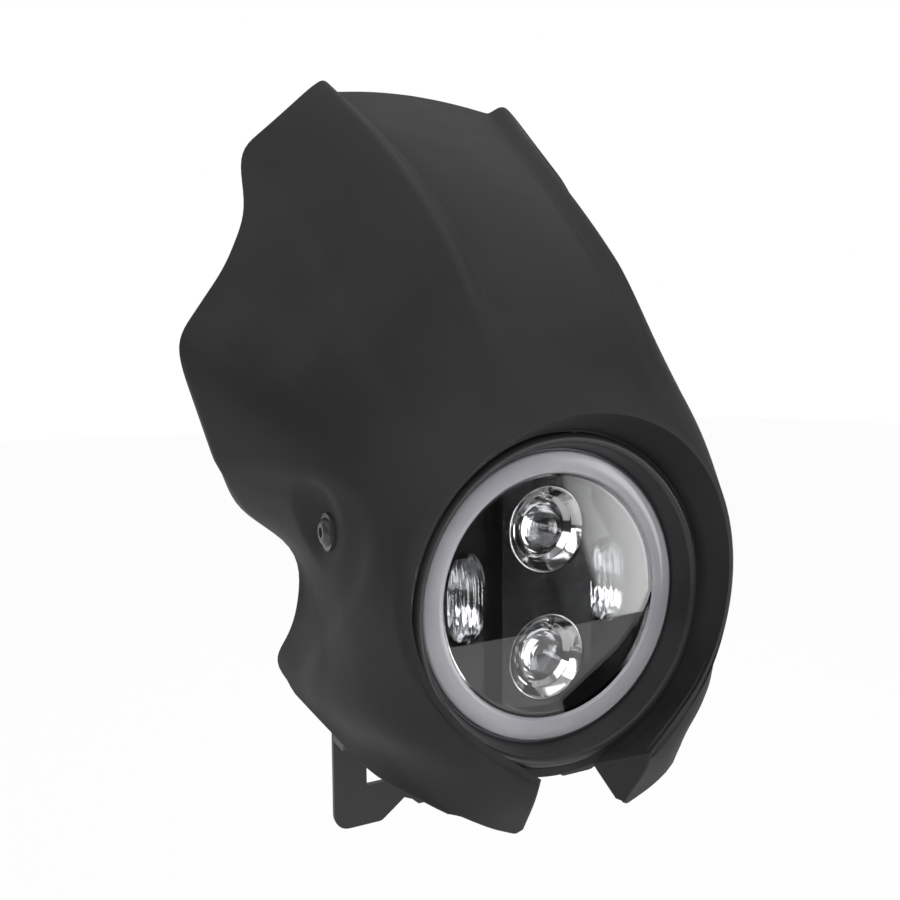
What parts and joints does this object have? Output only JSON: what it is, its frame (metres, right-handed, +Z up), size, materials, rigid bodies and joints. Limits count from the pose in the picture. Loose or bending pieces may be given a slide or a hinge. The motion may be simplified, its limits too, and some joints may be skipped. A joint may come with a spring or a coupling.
{
  "type": "headlight cowl",
  "caption": "Motorcycle headlight cowl: a ribbed flyscreen skin around a round projector headlamp with a halo ring, on a bolted sheet bracket for the fork clamp.",
  "frame": {"origin": "midway between the fork bolt holes, on the front face of the bracket's lower plate", "axes": "-Y is the way the lamp faces, +Z is up, +X is to the right as seen from the front"},
  "size_m": [0.3006, 0.1982, 0.408],
  "materials": {
    "cowl_black": "matt black moulded skin with a fine grain",
    "bracket_black": "black powder coat",
    "ring_black": "satin black paint",
    "bucket_black": "satin black paint",
    "black_steel": "black oxide steel",
    "plated_steel": "zinc plated steel",
    "rubber_black": "black rubber",
    "die_cast": "dark die-cast aluminium",
    "sheet_alu": "plain aluminium",
    "bezel_black": "gloss black moulding",
    "mirror_chrome": "vacuum chromed reflector",
    "clear_lens": "clear polycarbonate",
    "halo_frost": "frosted light guide, unlit",
    "board_white": "white coated circuit board",
    "board_green": "circuit board with its parts",
    "led_yellow": "LED phosphor, unlit"
  },
  "bodies": {
    "root": {"cowl": "cowl_black", "bracket": "bracket_black", "cowl_bolts": "black_steel", "cowl_spacers": "rubber_black", "cowl_nuts": "plated_steel", "trim_ring": "ring_black", "ring_screw": "plated_steel", "lamp_bucket": "bucket_black", "bucket_spacers": "rubber_black", "bucket_bolts": "plated_steel", "bucket_grommet": "rubber_black", "carrier_ring": "sheet_alu", "carrier_screws": "plated_steel", "lamp_housing": "die_cast", "rear_cap": "die_cast", "cap_screws": "plated_steel", "cable_gland": "rubber_black", "breather_vent": "rubber_black", "driver_board": "board_green", "led_board": "board_white", "led_chips": "led_yellow", "inner_bezel": "bezel_black", "upper_projector_cup": "mirror_chrome", "lower_projector_cup": "mirror_chrome", "upper_projector_lens": "clear_lens", "lower_projector_lens": "clear_lens", "left_side_reflector": "mirror_chrome", "right_side_reflector": "mirror_chrome", "left_side_lens": "clear_lens", "right_side_lens": "clear_lens", "halo_board": "board_white", "lens_seal": "rubber_black", "halo_ring": "halo_frost", "front_lens": "clear_lens"}
  },
  "joints": []
}
